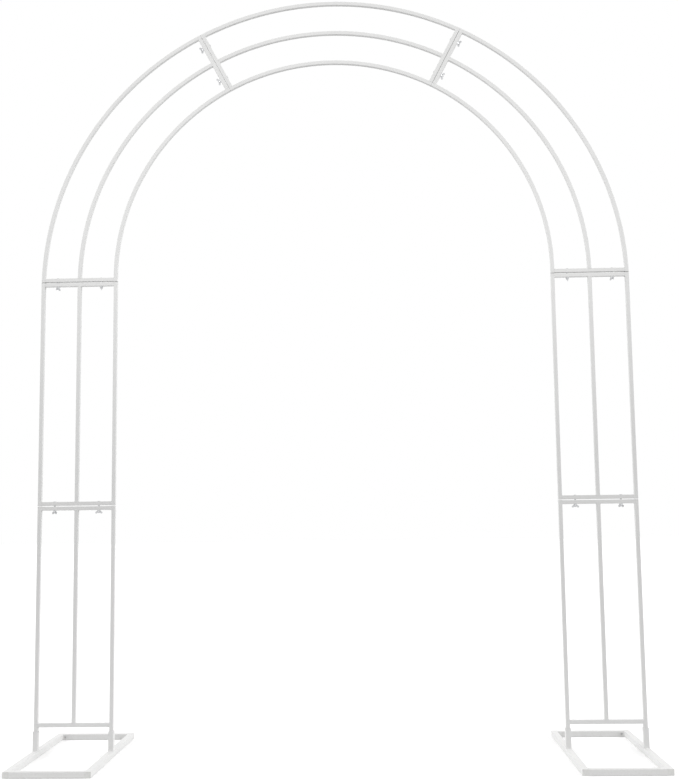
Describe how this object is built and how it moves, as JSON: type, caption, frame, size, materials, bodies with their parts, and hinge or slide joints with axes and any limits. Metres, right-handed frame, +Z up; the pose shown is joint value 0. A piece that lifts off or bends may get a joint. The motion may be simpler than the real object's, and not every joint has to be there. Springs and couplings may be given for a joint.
{
  "type": "wedding arch",
  "caption": "Free-standing round-topped arch of square steel tube: ladder-like legs on flat foot frames and concentric bent tubes bolted in sections.",
  "frame": {"origin": "on the floor, midway between the legs and midway through the depth of the foot frames", "axes": "+X across the arch to the viewer's right, +Y to the back, +Z up"},
  "size_m": [2.01, 0.6, 2.5676],
  "materials": {
    "white_coat": "satin white powder coat",
    "white_plug": "matt white",
    "zinc": "bright zinc plate"
  },
  "bodies": {
    "root": {"base_left_front_rail": "white_coat", "base_left_back_rail": "white_coat", "base_left_side_rails": "white_coat", "base_left_sockets": "white_coat", "base_right_front_rail": "white_coat", "base_right_back_rail": "white_coat", "base_right_side_rails": "white_coat", "base_right_sockets": "white_coat", "lower_leg_left_outer_post": "white_coat", "lower_leg_left_middle_bar": "white_coat", "lower_leg_left_inner_post": "white_coat", "lower_leg_left_rails": "white_coat", "lower_leg_right_outer_post": "white_coat", "lower_leg_right_middle_bar": "white_coat", "lower_leg_right_inner_post": "white_coat", "lower_leg_right_rails": "white_coat", "upper_leg_left_outer_post": "white_coat", "upper_leg_left_middle_bar": "white_coat", "upper_leg_left_inner_post": "white_coat", "upper_leg_left_rails": "white_coat", "upper_leg_right_outer_post": "white_coat", "upper_leg_right_middle_bar": "white_coat", "upper_leg_right_inner_post": "white_coat", "upper_leg_right_rails": "white_coat", "side_arch_left_outer_tube": "white_coat", "side_arch_left_middle_tube": "white_coat", "side_arch_left_inner_tube": "white_coat", "side_arch_left_rails": "white_coat", "side_arch_right_outer_tube": "white_coat", "side_arch_right_middle_tube": "white_coat", "side_arch_right_inner_tube": "white_coat", "side_arch_right_rails": "white_coat", "crown_outer_tube": "white_coat", "crown_middle_tube": "white_coat", "crown_inner_tube": "white_coat", "crown_rails": "white_coat", "base_left_end_plugs": "white_plug", "base_right_end_plugs": "white_plug", "bolts_left": "zinc", "bolts_right": "zinc", "wing_nuts_left": "zinc", "wing_nuts_right": "zinc"}
  },
  "joints": []
}
